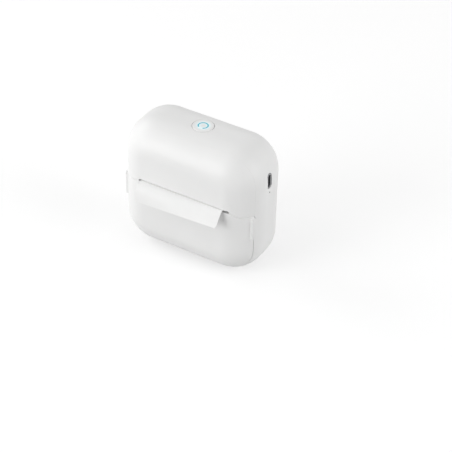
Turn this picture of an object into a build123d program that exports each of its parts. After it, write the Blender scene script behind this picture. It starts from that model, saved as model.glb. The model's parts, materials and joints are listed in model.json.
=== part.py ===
from build123d import *
import os
from math import acos, atan2, cos, degrees, hypot, pi, radians, sin, sqrt, tan

# Pocket thermal printer, in millimetres. The origin is on the surface it stands on, under the middle
# of the case. +X is the side with the USB socket, -Y is the front with the paper slot, +Z is up.

# Case outline
case_width = 88.0
case_height = 81.7
case_depth = 43.0
foot_height = 0.3
corner_radius = 20.5
front_edge_radius = 18.0
back_edge_radius = 17.0
wall = 2.0
half_width = case_width / 2
half_depth = case_depth / 2

# Where the case splits
seam_y = -half_depth + 9.3
seam_gap = 0.04
lip_length = 1.6
lip_thickness = 0.9
lip_play = 0.15
moving_gap = 0.3

# Width of the paper. The parts across the case follow it
paper_width = case_width - 35.0
half_paper = paper_width / 2

# Paper slot and the cover's top edge, as seen from the front
slot_left_x = -half_paper - 1.9
slot_right_x = half_paper + 3.8
slot_top_z = 48.35
cover_lip_z = 46.65
cover_side_z = 44.35
lip_half_length = half_paper + 2.5
lip_slope_length = 9.0
slot_height = 1.7
rim_round = 0.4
rim_probe = 0.2

# Finger tabs on the cover
tab_height = 14.3
tab_bottom_z = 29.1
tab_depth = 2.0
tab_proud = 1.2

# Cover hinge
knuckle_radius = 1.5
knuckle_half_length = half_paper - 6.5
hinge_pin_radius = 0.75
hinge_pin_length = 10.0
hinge_ear_thickness = 3.0
ear_reach = 6.0
hinge_running_play = 0.05
press_play = 0.01

# Paper and its roll
paper_thickness = 0.12
paper_play = 0.12
strip_straight = 10.4
lip_bend_radius = 3.5
lip_bend_angle = 45.0
strip_bend_radius = 11.0
strip_bend_angle = 42.0
roll_radius = half_depth - 9.0
core_radius = 5.5
core_bore_radius = 4.5
roll_y = 2.0
cradle_z = 20.5
cradle_play = 1.0
roll_rest_gap = 0.2
cradle_wall = 1.2
cradle_front_angle = 205.0
cradle_back_angle = 400.0
cradle_foot_x = 18.0
cradle_foot_width = 3.0
cradle_foot_depth = 8.0

# Platen roller, carried by the cover
platen_y = -half_depth + 8.6
platen_z = 40.75
platen_radius = 4.0
platen_half_length = half_paper + 0.5
platen_shaft_radius = 1.5
bush_radius = 2.5
bush_play = 0.03
bracket_inner_x = half_paper + 1.2
bracket_thickness = 1.6
bracket_rim = 1.1
bracket_drop = 7.0

# Gear train
gear_module = 0.5
platen_teeth = 16
idler_teeth = 24
pinion_teeth = 12
gear_face = 2.0
gear_play = 0.06
centre_play = 0.05
pressure_angle = 20.0
idler_stud_radius = 1.5
pinion_hub_radius = 1.6
idler_angle = 0.0
pinion_angle = 38.0

# Mechanism frame
frame_inner_x = bracket_inner_x + bracket_thickness + 0.3
frame_thickness = 1.0
frame_bottom_z = 37.25
frame_top_z = 52.95
frame_front_y = platen_y - 3.1
frame_back_y = half_depth - 12.5
bridge_back_y = platen_y + 7.9
flange_outer_x = half_width - 6.4
flange_height = 5.0
notch_play = 0.3
gear_side_gap = 0.7
latch_thickness = 0.4
latch_reach = 3.4
latch_arm = 4.0
latch_hole_radius = 0.6

# Thermal head
head_angle = 72.0
head_play = 0.16
head_half_length = frame_inner_x - 1.1
head_board_thickness = 1.0
head_ahead = 2.5
head_behind = 6.0
sink_thickness = 3.0
trunnion_radius = 1.0
trunnion_along = -4.4
trunnion_up = 9.5
head_spring_width = 5.0
head_spring_thickness = 0.3
head_spring_spacing = head_half_length - 10.5

# Tear bar
tear_bar_half_length = platen_half_length
tear_bar_gap = 0.05
tear_bar_thickness = 0.5
tear_bar_height = 4.5
tear_tooth_pitch = 1.2
tear_tooth_height = 0.7
tear_tip_z = 47.75

# Motor
motor_radius = 7.5
motor_length = 11.0
motor_flange = 0.8
motor_shaft_radius = 0.75
motor_ear_reach = 9.6
motor_ear_radius = 2.2
motor_ear_angles = (-35.0, 75.0)
motor_plate_rim = 2.9

# Power button
button_x = 0.1
button_y = 0.4
button_radius = 6.2
button_play = 0.2
button_proud = 0.25
button_flange = 0.7
button_stem_radius = 2.0
ring_radius = 2.75
ring_width = 0.8
ring_depth = 0.8
ring_gap_angle = 55.0
ring_gap_facing = 266.0

# Boards, battery and socket
board_y = 0.8
board_thickness = 1.0
board_bottom_z = 55.0
board_top_z = 73.0
board_left_x = -half_width + 11.0
board_right_x = half_width - 3.7
right_wing_top_z = 67.5
left_wing_top_z = 64.0
left_wing_bottom_z = 58.6
board_screw_x = half_width - 15.0
board_screw_z = 61.2
usb_z = 62.15
usb_width = 8.94
usb_height = 3.26
usb_length = 7.35
usb_wall = 0.3
usb_tongue_width = 6.7
usb_tongue_height = 0.7
usb_recess = 0.4
usb_hole_width = 9.9
usb_hole_height = 4.6
status_y = -0.35
status_z = 54.35
status_radius = 0.5
battery_length = case_width - 44.0
battery_depth = 10.0
battery_height = 20.0
battery_y = 5.0
battery_z = 56.0
lead_radius = 0.45
lead_spacing = 1.2
lead_z = 66.0
lead_outer_x = battery_length / 2 + 4.5
lead_bend = 1.1
plug_outer_x = battery_length / 2 + 0.5
plug_width = 5.5
plug_height = 4.0
flex_width = 16.0
flex_thickness = 0.2
flex_socket_z = 57.0
flex_socket_height = 3.5
switch_board_z = 75.2
switch_board_half_width = 13.0
switch_board_front_y = -6.5
switch_board_back_y = 4.3
switch_board_screw_x = 10.5
switch_board_screw_y = -3.6
switch_size = 5.0
switch_height = 1.5
plunger_radius = 1.3
plunger_height = 0.8

# Screws and bosses
case_boss_radius = 2.6
case_boss_places = ((half_width - 18.5, 70.5), (half_width - 7.2, 49.5))
case_boss_meet_y = 4.0
case_screw_seat_y = 8.0
board_boss_radius = 2.2
frame_boss_radius = 2.4
switch_boss_radius = 2.0
thread_length = 6.0
switch_thread_length = 2.5
screw_radius = 0.9
screw_head_radius = 1.8
screw_head_height = 1.2
screw_hole_play = 0.15
frame_screw_x = half_width - 9.2
frame_screw_z = 39.75

# Foot pad
foot_length = 44.0
foot_depth = 14.0
foot_centre_y = 1.0
foot_recess = 0.8
foot_corner = 3.0

# Places worked out from the sizes above
case_bottom_z = foot_height
case_top_z = foot_height + case_height
case_mid_z = (case_bottom_z + case_top_z) / 2
inner_front_y = -half_depth + wall
inner_back_y = half_depth - wall
front_edge_y = -half_depth + front_edge_radius
front_edge_z = case_bottom_z + front_edge_radius
hinge_y = seam_y - moving_gap - knuckle_radius
hinge_arm = front_edge_radius - knuckle_radius
hinge_z = front_edge_z - sqrt(hinge_arm**2 - (front_edge_y - hinge_y) ** 2)
hinge_lean = degrees(atan2(front_edge_y - hinge_y, front_edge_z - hinge_z))
roll_z = cradle_z - cradle_play + roll_rest_gap
idler_distance = gear_module * (platen_teeth + idler_teeth) / 2 + centre_play
idler_y = platen_y + idler_distance * cos(radians(idler_angle))
idler_z = platen_z + idler_distance * sin(radians(idler_angle))
pinion_distance = gear_module * (idler_teeth + pinion_teeth) / 2 + centre_play
motor_y = idler_y + pinion_distance * cos(radians(pinion_angle))
motor_z = idler_z + pinion_distance * sin(radians(pinion_angle))
frame_outer_x = frame_inner_x + frame_thickness
gear_inner_x = frame_outer_x + gear_side_gap
gear_outer_x = gear_inner_x + gear_face
stud_end_x = gear_outer_x + 0.15
stud_shoulder = gear_side_gap / 2 - 0.1
usb_y = board_y - usb_height / 2
usb_mouth_x = half_width - usb_recess
board_half_width = battery_length / 2
tab_front_y = seam_y - moving_gap - tab_depth
far = 2 * case_width


def side_plane(x):
    """Plane seen from the right side: sketch X is the depth and sketch Y is the height."""
    return Plane.YZ.offset(x)


def front_plane(y):
    """Plane seen from the front: sketch X is the width and sketch Y is the height."""
    return Plane.XZ.offset(-y)


def pillow(inset):
    """Solid with the case's soft outline, drawn in on every side by the inset."""
    depth = case_depth - 2 * inset
    with BuildPart() as block:
        with BuildSketch(front_plane(depth / 2)):
            with Locations((0, case_mid_z)):
                RectangleRounded(case_width - 2 * inset, case_height - 2 * inset, corner_radius - inset)
        extrude(amount=depth)
        fillet(block.edges().group_by(Axis.Y)[0], front_edge_radius - inset)
        fillet(block.edges().group_by(Axis.Y)[-1], back_edge_radius - inset)
    return block.part


def slab(x0, x1, y0, y1, z0, z1):
    """Plain block between two corners, made outside any builder."""
    corner = ((x0 + x1) / 2, (y0 + y1) / 2, (z0 + z1) / 2)
    return Pos(*corner) * Box(x1 - x0, y1 - y0, z1 - z0, mode=Mode.PRIVATE)


def bar(start, end, radius, mode=Mode.ADD):
    """Round bar between two points, added to or cut from the block that calls it."""
    along = Vector(*end) - Vector(*start)
    with BuildSketch(Plane(origin=start, z_dir=along)) as disc:
        Circle(radius)
    return extrude(disc.sketch, amount=along.length, mode=mode)


def split_curve(rise, side_rise):
    """Area below the line that parts the cover from the shell above it, seen from the front."""
    lip_end = lip_half_length + lip_slope_length
    with BuildSketch(front_plane(0)) as area:
        with BuildLine():
            level = Line((-far, cover_side_z + side_rise), (-lip_end, cover_side_z + side_rise))
            climb = Spline(
                level @ 1,
                (-lip_half_length, cover_lip_z + rise),
                tangents=((1, 0), (1, 0)),
            )
            top = Line(climb @ 1, (lip_half_length, cover_lip_z + rise))
            drop = Spline(top @ 1, (lip_end, cover_side_z + side_rise), tangents=((1, 0), (1, 0)))
            end = Line(drop @ 1, (far, cover_side_z + side_rise))
            Polyline(end @ 1, (far, -far), (-far, -far), level @ 0)
        make_face()
    return extrude(area.sketch, amount=far / 2, both=True)


def gear_outline_angles(teeth):
    """Half angles of a tooth at its root, pitch line and tip, from the involute of its base circle."""
    pitch = gear_module * teeth / 2
    base = pitch * cos(radians(pressure_angle))
    tip = pitch + gear_module
    root = pitch - 1.25 * gear_module
    half_at_pitch = (pi * gear_module / 2 - gear_play) / 2 / pitch
    turn_at_pitch = tan(radians(pressure_angle)) - radians(pressure_angle)
    points = []
    for radius in (max(base, root), pitch, (pitch + tip) / 2, tip):
        roll = sqrt(max((radius / base) ** 2 - 1, 0))
        turn = roll - atan2(roll, 1)
        points.append((radius, half_at_pitch + turn_at_pitch - turn))
    points.insert(0, (root, points[0][1] + 0.02))
    return points


def gear(teeth, centre_y, centre_z, tooth_angle, bore_radius, hub_radius):
    """Spur gear on an axis along X, one tooth centred at the given angle in the side view."""
    flank = gear_outline_angles(teeth)
    with BuildPart() as wheel:
        with BuildSketch(side_plane(-gear_outer_x)):
            with Locations((centre_y, centre_z)):
                Circle(flank[0][0])
            with BuildLine():
                corners = []
                for index in range(teeth):
                    middle = radians(tooth_angle) + 2 * pi * index / teeth
                    lower = [(radius, middle - half) for radius, half in flank]
                    upper = [(radius, middle + half) for radius, half in reversed(flank)]
                    corners += lower + upper
                Polyline(
                    [(centre_y + r * cos(a), centre_z + r * sin(a)) for r, a in corners],
                    close=True,
                )
            make_face()
        extrude(amount=gear_face)
        with BuildSketch(side_plane(-gear_inner_x)):
            with Locations((centre_y, centre_z)):
                Circle(hub_radius)
        extrude(amount=gear_side_gap / 2)
        with BuildSketch(side_plane(-gear_outer_x - gear_face)):
            with Locations((centre_y, centre_z)):
                Circle(bore_radius)
        extrude(amount=3 * gear_face, mode=Mode.SUBTRACT)
    return wheel.part


def pan_screw(head_centre, towards, length):
    """Pan-head screw with a cross recess. The head's inner face is at the given point."""
    plane = Plane(origin=head_centre, z_dir=towards)
    with BuildPart() as screw:
        with BuildSketch(plane):
            Circle(screw_radius)
        extrude(amount=length)
        with BuildSketch(plane):
            Circle(screw_head_radius)
        extrude(amount=-screw_head_height)
        fillet(screw.edges().filter_by(GeomType.CIRCLE).sort_by(Axis(head_centre, towards))[0], 0.4)
        with BuildSketch(plane.offset(-screw_head_height)):
            Rectangle(2.2, 0.5)
            Rectangle(0.5, 2.2)
        extrude(amount=0.6, mode=Mode.SUBTRACT)
    return screw.part


def save(part, label):
    part.label = label
    export_step(part, f"parts/{label}.step")


os.makedirs("parts", exist_ok=True)
outer = pillow(0)
inner = pillow(wall)
back_half = slab(-far, far, seam_y, far, -far, far)
front_half = slab(-far, far, -far, seam_y - seam_gap, -far, far)
cover_half = slab(-far, far, -far, seam_y - moving_gap, -far, far)
cover_area = split_curve(0, 0)
shell_area = split_curve(moving_gap, moving_gap)

# Rear shell
usb_plane = side_plane(half_width + 1)
chin_clearance = knuckle_radius + 1.5 * moving_gap
chin_front_y = hinge_y + knuckle_radius / 3
ear_inner_x = knuckle_half_length + moving_gap
board_back_y = board_y + board_thickness
switch_boss_bottom_z = switch_board_z + board_thickness
thread_radius = screw_radius + press_play
with BuildPart() as rear_shell:
    add(outer & back_half)
    # Chin that fills the underside up to the cover's knuckle
    add(outer & slab(-far, far, chin_front_y, seam_y, -far, hinge_z - moving_gap))
    add(inner, mode=Mode.SUBTRACT)
    bar((-half_width, hinge_y, hinge_z), (half_width, hinge_y, hinge_z), chin_clearance, Mode.SUBTRACT)
    # Lip that keys into the upper front shell
    lip_box = slab(-far, far, seam_y - lip_length, seam_y + wall, slot_top_z + wall, far)
    add((pillow(wall - lip_thickness) & lip_box) - inner)
    # Ribs that carry the battery
    for rib_x in (-battery_length / 3, 0, battery_length / 3):
        add(slab(rib_x - 0.6, rib_x + 0.6, battery_y, half_depth, battery_z - 2.0, battery_z - 0.1))
    for side in (-1, 1):
        # Case, board, frame and switch board bosses
        for boss_x, boss_z in case_boss_places:
            boss_start = (side * boss_x, case_boss_meet_y, boss_z)
            bar(boss_start, (side * boss_x, half_depth, boss_z), case_boss_radius)
        board_boss = (side * board_screw_x, board_back_y, board_screw_z)
        bar(board_boss, (side * board_screw_x, half_depth, board_screw_z), board_boss_radius)
        frame_boss = (side * frame_screw_x, frame_back_y, frame_screw_z)
        bar(frame_boss, (side * frame_screw_x, half_depth, frame_screw_z), frame_boss_radius)
        switch_boss = (side * switch_board_screw_x, switch_board_screw_y, switch_boss_bottom_z)
        bar(switch_boss, (switch_boss[0], switch_boss[1], case_top_z), switch_boss_radius)
        # Hinge ear
        with BuildSketch(side_plane(ear_inner_x if side > 0 else -ear_inner_x - hinge_ear_thickness)):
            with Locations((hinge_y, hinge_z)):
                Circle(knuckle_radius)
            with BuildLine():
                Polyline(
                    (hinge_y, hinge_z + knuckle_radius),
                    (hinge_y + ear_reach, hinge_z + knuckle_radius),
                    (hinge_y + 1.5 * ear_reach, case_bottom_z + wall / 2),
                    (seam_y + 0.5, case_bottom_z + wall + 1.0),
                    (hinge_y, hinge_z - knuckle_radius),
                    close=True,
                )
            make_face()
        extrude(amount=hinge_ear_thickness)
    add(outer, mode=Mode.INTERSECT)
    for side in (-1, 1):
        # Screw holes, with counterbores for the case screws, and the holes of the hinge pins
        for boss_x, boss_z in case_boss_places:
            hole_start = (side * boss_x, case_boss_meet_y - 1, boss_z)
            seat = (side * boss_x, case_screw_seat_y, boss_z)
            hole_end = (side * boss_x, half_depth, boss_z)
            bar(hole_start, hole_end, screw_radius + screw_hole_play, Mode.SUBTRACT)
            bar(seat, hole_end, screw_head_radius + screw_hole_play, Mode.SUBTRACT)
        hole = (side * board_screw_x, board_back_y, board_screw_z)
        bar(hole, (hole[0], hole[1] + thread_length, hole[2]), thread_radius, Mode.SUBTRACT)
        hole = (side * frame_screw_x, frame_back_y, frame_screw_z)
        bar(hole, (hole[0], hole[1] + thread_length, hole[2]), thread_radius, Mode.SUBTRACT)
        hole = (side * switch_board_screw_x, switch_board_screw_y, switch_boss_bottom_z)
        bar(hole, (hole[0], hole[1], hole[2] + switch_thread_length), thread_radius, Mode.SUBTRACT)
        hole = (side * (ear_inner_x - 1), hinge_y, hinge_z)
        ear_end = (side * (ear_inner_x + hinge_ear_thickness), hinge_y, hinge_z)
        bar(hole, ear_end, hinge_pin_radius + press_play, Mode.SUBTRACT)
    # Button hole, USB cut-out, status light hole and the recess of the foot pad
    with BuildSketch(Plane.XY.offset(case_top_z + 1)):
        with Locations((button_x, button_y)):
            Circle(button_radius + button_play)
    extrude(amount=-wall - 2, mode=Mode.SUBTRACT)
    with BuildSketch(usb_plane):
        with Locations((usb_y, usb_z)):
            SlotOverall(usb_hole_width, usb_hole_height, rotation=90)
        with Locations((status_y, status_z)):
            Circle(status_radius + press_play)
    extrude(amount=-wall - 3, mode=Mode.SUBTRACT)
    with BuildSketch(Plane.XY.offset(-1)):
        with Locations((0, foot_centre_y)):
            RectangleRounded(foot_length + 2 * lip_play, foot_depth + 2 * lip_play, foot_corner)
    extrude(amount=1 + case_bottom_z + foot_recess, mode=Mode.SUBTRACT)
save(rear_shell.part, "rear_shell")

# Upper front shell, above the slot
with BuildPart() as upper_front_shell:
    add(outer & front_half)
    add(inner, mode=Mode.SUBTRACT)
    for side in (-1, 1):
        for boss_x, boss_z in case_boss_places:
            boss_start = (side * boss_x, -half_depth, boss_z)
            bar(boss_start, (side * boss_x, case_boss_meet_y, boss_z), case_boss_radius)
    add(outer, mode=Mode.INTERSECT)
    add(shell_area, mode=Mode.SUBTRACT)
    # The slot, with round ends
    with BuildSketch(front_plane(0)):
        with Locations(((slot_left_x + slot_right_x) / 2, slot_top_z - slot_height / 2)):
            SlotOverall(slot_right_x - slot_left_x, slot_height)
    extrude(amount=half_depth + 1, mode=Mode.SUBTRACT)
    # Rebate that takes the rear shell's lip
    rebate_box = slab(-far, far, seam_y - lip_length - lip_play, case_boss_meet_y, -far, far)
    rebate = (pillow(wall - lip_thickness - lip_play) & rebate_box) - inner
    add(rebate, mode=Mode.SUBTRACT)
    for side in (-1, 1):
        for boss_x, boss_z in case_boss_places:
            hole = (side * boss_x, case_boss_meet_y, boss_z)
            bar(hole, (hole[0], hole[1] - thread_length, hole[2]), thread_radius, Mode.SUBTRACT)
save(upper_front_shell.part, "upper_front_shell")

def is_rim(face):
    """Whether a face is part of the cover's upper rim."""
    return face.center().Z > cover_side_z - rim_probe and face.normal_at().Z > 0.9


def on_skin(edge):
    """Whether an edge lies on the outside of the case."""
    return not skin_probe.is_inside(edge @ 0.5)


# Paper cover, with the hinge knuckle, the finger tabs and the platen's brackets
skin_probe = pillow(rim_probe)
knuckle_end = knuckle_half_length
cut_lean = radians(hinge_lean)
with BuildPart() as paper_cover:
    add(outer & cover_half)
    add(inner, mode=Mode.SUBTRACT)
    add(cover_area, mode=Mode.INTERSECT)
    # The lower edge is cut square to the skin at the hinge, then closed by the knuckle
    with BuildSketch(side_plane(-half_width)):
        with BuildLine():
            Polyline(
                (hinge_y, hinge_z),
                (hinge_y - half_depth * sin(cut_lean), hinge_z - half_depth * cos(cut_lean)),
                (half_depth, -half_depth),
                (half_depth, hinge_z),
                close=True,
            )
        make_face()
    extrude(amount=case_width, mode=Mode.SUBTRACT)
    bar((-knuckle_end, hinge_y, hinge_z), (knuckle_end, hinge_y, hinge_z), knuckle_radius)
    for side in (-1, 1):
        # Room for the hinge ear, and the bore for the pin
        ear_room_start = (side * knuckle_half_length, hinge_y, hinge_z)
        ear_room_end = (side * (ear_inner_x + hinge_ear_thickness + moving_gap), hinge_y, hinge_z)
        bar(ear_room_start, ear_room_end, knuckle_radius + moving_gap, Mode.SUBTRACT)
        bore_start = (side * (ear_inner_x + hinge_ear_thickness - hinge_pin_length), hinge_y, hinge_z)
        bar(bore_start, ear_room_start, hinge_pin_radius + hinge_running_play, Mode.SUBTRACT)
        # Bracket that carries the bush
        bracket_x = side * (bracket_inner_x + bracket_thickness / 2) - bracket_thickness / 2
        with BuildSketch(side_plane(bracket_x)):
            with Locations((platen_y, platen_z)):
                Circle(bush_radius + bracket_rim)
            with BuildLine():
                Polyline(
                    (platen_y, platen_z + bush_radius + bracket_rim),
                    (-half_depth, platen_z + bush_radius + bracket_rim),
                    (-half_depth, platen_z - bracket_drop),
                    (inner_front_y, platen_z - bracket_drop),
                    (platen_y, platen_z - bush_radius - bracket_rim),
                    close=True,
                )
            make_face()
            with Locations((platen_y, platen_z)):
                Circle(bush_radius + press_play, mode=Mode.SUBTRACT)
        extrude(amount=bracket_thickness)
    add(outer, mode=Mode.INTERSECT)
    # The rim that faces the slot and the shell above it is rounded on the outside
    rim_faces = [face for face in paper_cover.faces() if is_rim(face)]
    rim_edges = [edge for face in rim_faces for edge in face.edges() if on_skin(edge)]
    fillet(rim_edges, rim_round)
    # Finger tabs, standing proud of the side
    tab_box_right = slab(0, far, tab_front_y, seam_y - moving_gap, tab_bottom_z, tab_bottom_z + tab_height)
    tab_box_left = slab(-far, 0, tab_front_y, seam_y - moving_gap, tab_bottom_z, tab_bottom_z + tab_height)
    tab_skin = pillow(-tab_proud) - inner
    add(tab_skin & tab_box_right)
    add(tab_skin & tab_box_left)
save(paper_cover.part, "paper_cover")

# Hinge pins of the cover, pressed into the ears
for name, side in (("left", -1), ("right", 1)):
    with BuildPart() as hinge_pin:
        pin_outer_x = ear_inner_x + hinge_ear_thickness
        pin_end = (side * pin_outer_x, hinge_y, hinge_z)
        bar((side * (pin_outer_x - hinge_pin_length), hinge_y, hinge_z), pin_end, hinge_pin_radius)
        chamfer(hinge_pin.edges().filter_by(GeomType.CIRCLE), 0.15)
    save(hinge_pin.part, f"hinge_pin_{name}")

# Platen: shaft, rubber sleeve, gear and the two bushes in the cover's brackets
shaft_end_x = gear_outer_x + 0.6
bush_outer_x = frame_outer_x + 0.3
with BuildPart() as platen_shaft:
    bar((-shaft_end_x, platen_y, platen_z), (bush_outer_x + 0.3, platen_y, platen_z), platen_shaft_radius)
    chamfer(platen_shaft.edges().filter_by(GeomType.CIRCLE), 0.25)
save(platen_shaft.part, "platen_shaft")

with BuildPart() as platen_roller:
    roller_end = (platen_half_length, platen_y, platen_z)
    bar((-platen_half_length, platen_y, platen_z), roller_end, platen_radius)
    fillet(platen_roller.edges().filter_by(GeomType.CIRCLE), 0.3)
    bar((-case_width, platen_y, platen_z), (case_width, platen_y, platen_z),
        platen_shaft_radius + press_play, Mode.SUBTRACT)
save(platen_roller.part, "platen_roller")

for name, side in (("left", -1), ("right", 1)):
    with BuildPart() as platen_bush:
        bush_start = (side * bracket_inner_x, platen_y, platen_z)
        bush_end = (side * bush_outer_x, platen_y, platen_z)
        bar(bush_start, bush_end, bush_radius)
        bar(bush_start, bush_end, platen_shaft_radius + bush_play, Mode.SUBTRACT)
    save(platen_bush.part, f"platen_bush_{name}")

# Gear train. Each gear is turned so that its teeth mesh at rest
idler_turn = idler_angle + 180.0 + 180.0 / idler_teeth
idler_phase = ((pinion_angle - idler_turn) * idler_teeth / 360.0) % 1.0
pinion_turn = pinion_angle + 180.0 - (0.5 - idler_phase) * 360.0 / pinion_teeth
gear_hub_radius = 2.6
platen_gear = gear(
    platen_teeth, platen_y, platen_z, idler_angle, platen_shaft_radius + press_play, gear_hub_radius
)
save(platen_gear, "platen_gear")
idler_gear = gear(
    idler_teeth, idler_y, idler_z, idler_turn, idler_stud_radius + bush_play, gear_hub_radius
)
save(idler_gear, "idler_gear")
motor_pinion = gear(
    pinion_teeth, motor_y, motor_z, pinion_turn, motor_shaft_radius + press_play, pinion_hub_radius
)
save(motor_pinion, "motor_pinion")

with BuildPart() as idler_stud:
    bar((-frame_inner_x, idler_y, idler_z), (-stud_end_x, idler_y, idler_z), idler_stud_radius)
    bar((-frame_outer_x, idler_y, idler_z), (-frame_outer_x - stud_shoulder, idler_y, idler_z), 2.3)
    bar((-stud_end_x, idler_y, idler_z), (-stud_end_x - 0.5, idler_y, idler_z), 2.2)
save(idler_stud.part, "idler_stud")

# Stepper motor on the left frame plate
motor_face = (-frame_inner_x, motor_y, motor_z)
with BuildPart() as stepper_motor:
    bar(motor_face, (-frame_inner_x + motor_length, motor_y, motor_z), motor_radius)
    fillet(stepper_motor.edges().filter_by(GeomType.CIRCLE).sort_by(Axis.X)[-1], 0.8)
    for angle in motor_ear_angles:
        reach = motor_ear_reach
        ear_place = (motor_y + reach * cos(radians(angle)), motor_z + reach * sin(radians(angle)))
        with BuildSketch(side_plane(-frame_inner_x)):
            with Locations(ear_place):
                Circle(motor_ear_radius)
            with Locations(((motor_y + ear_place[0]) / 2, (motor_z + ear_place[1]) / 2)):
                Rectangle(reach, 2 * motor_ear_radius, rotation=angle)
        extrude(amount=motor_flange)
    for angle in motor_ear_angles:
        with BuildSketch(side_plane(-frame_inner_x)):
            with Locations((motor_y + reach * cos(radians(angle)), motor_z + reach * sin(radians(angle)))):
                Circle(screw_radius + screw_hole_play)
        extrude(amount=motor_flange, mode=Mode.SUBTRACT)
    bar(motor_face, (-frame_inner_x + motor_length - 2, motor_y, motor_z),
        motor_shaft_radius + hinge_running_play, Mode.SUBTRACT)
save(stepper_motor.part, "stepper_motor")

with BuildPart() as motor_shaft:
    shaft_start = (-frame_inner_x + motor_length - 2.3, motor_y, motor_z)
    bar(shaft_start, (-gear_outer_x - 0.4, motor_y, motor_z), motor_shaft_radius)
save(motor_shaft.part, "motor_shaft")

# Mechanism frame: two side plates, a bridge over the head and two flanges
notch_radius = bush_radius + notch_play
head_lean = radians(head_angle)
feed = (-sin(head_lean), cos(head_lean))
lift = (cos(head_lean), sin(head_lean))


def head_point(along, up):
    """Point in the side view from its place along the feed and its height over the platen's axis."""
    return (platen_y + along * feed[0] + up * lift[0], platen_z + along * feed[1] + up * lift[1])


trunnion_y, trunnion_z = head_point(trunnion_along, trunnion_up)
flange_front_y = frame_back_y - frame_thickness
flange_top_z = frame_bottom_z + flange_height
with BuildPart() as mechanism_frame:
    for side in (-1, 1):
        plate_x = frame_inner_x if side > 0 else -frame_outer_x
        with BuildSketch(side_plane(plate_x)):
            with BuildLine():
                if side < 0:
                    Polyline(
                        (frame_front_y, frame_bottom_z),
                        (motor_y + motor_radius + motor_plate_rim, frame_bottom_z),
                        (motor_y + motor_radius + motor_plate_rim, motor_z - 2.0),
                        (motor_y + motor_radius + 1.0, motor_z + motor_ear_reach + motor_ear_radius),
                        (motor_y - 1.0, motor_z + motor_ear_reach + motor_ear_radius),
                        (bridge_back_y, frame_top_z),
                        (frame_front_y, frame_top_z),
                        close=True,
                    )
                else:
                    Polyline(
                        (frame_front_y, frame_bottom_z),
                        (frame_back_y, frame_bottom_z),
                        (frame_back_y, flange_top_z),
                        (bridge_back_y + 2.0, frame_top_z),
                        (frame_front_y, frame_top_z),
                        close=True,
                    )
            make_face()
            # Notch that the bush slides into
            with Locations((platen_y, platen_z)):
                Circle(notch_radius, mode=Mode.SUBTRACT)
            with Locations((platen_y - case_depth / 2, platen_z)):
                Rectangle(case_depth, 2 * notch_radius, mode=Mode.SUBTRACT)
            with Locations((trunnion_y, trunnion_z)):
                Circle(trunnion_radius + hinge_running_play, mode=Mode.SUBTRACT)
            if side < 0:
                with Locations((idler_y, idler_z)):
                    Circle(idler_stud_radius + press_play, mode=Mode.SUBTRACT)
                with Locations((motor_y, motor_z)):
                    Circle(pinion_hub_radius + notch_play, mode=Mode.SUBTRACT)
                for angle in motor_ear_angles:
                    ear_turn = radians(angle)
                    ear = (motor_y + motor_ear_reach * cos(ear_turn), motor_z + motor_ear_reach * sin(ear_turn))
                    with Locations(ear):
                        Circle(thread_radius, mode=Mode.SUBTRACT)
        extrude(amount=frame_thickness)
        # Flange that is screwed to the rear shell
        flange_x = sorted((side * frame_inner_x, side * flange_outer_x))
        add(slab(*flange_x, flange_front_y, frame_back_y, frame_bottom_z, flange_top_z))
        flange_hole = (side * frame_screw_x, flange_front_y - 1, frame_screw_z)
        hole_end = (side * frame_screw_x, frame_back_y + 1, frame_screw_z)
        bar(flange_hole, hole_end, screw_radius + screw_hole_play, Mode.SUBTRACT)
    bridge_z = frame_top_z - frame_thickness
    add(slab(-frame_outer_x, frame_outer_x, frame_front_y, bridge_back_y, bridge_z, frame_top_z))
save(mechanism_frame.part, "mechanism_frame")

# Latch springs: thin hooks on the outside of the frame that bear on the bushes
for name, side in (("left", -1), ("right", 1)):
    with BuildPart() as latch_spring:
        latch_x = frame_outer_x if side > 0 else -frame_outer_x - latch_thickness
        nose_z = platen_z + bush_radius + notch_play
        with BuildSketch(side_plane(latch_x)):
            with BuildLine():
                Polyline(
                    (platen_y - bush_radius, nose_z + 0.2),
                    (platen_y, nose_z),
                    (platen_y + latch_reach, nose_z + 2.2),
                    (platen_y + latch_reach, frame_top_z - 1.0),
                    (platen_y + 0.4, frame_top_z - 1.0),
                    (platen_y + 0.4, nose_z + latch_arm),
                    (platen_y - bush_radius, nose_z + 1.6),
                    close=True,
                )
            make_face()
            with Locations((platen_y + 1.9, frame_top_z - 2.6)):
                Circle(latch_hole_radius, mode=Mode.SUBTRACT)
        extrude(amount=latch_thickness)
    save(latch_spring.part, f"latch_spring_{name}")

# Thermal head: ceramic board under a heat sink that rocks on two trunnions
board_under = platen_radius + paper_play + paper_thickness + head_play
board_over = board_under + head_board_thickness
sink_over = board_over + sink_thickness
sink_end_x = frame_inner_x - moving_gap
with BuildPart() as head_board:
    with BuildSketch(side_plane(-head_half_length)):
        with BuildLine():
            Polyline(
                head_point(head_ahead, board_under),
                head_point(-head_behind, board_under),
                head_point(-head_behind, board_over),
                head_point(head_ahead, board_over),
                close=True,
            )
        make_face()
    extrude(amount=2 * head_half_length)
save(head_board.part, "head_board")

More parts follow.
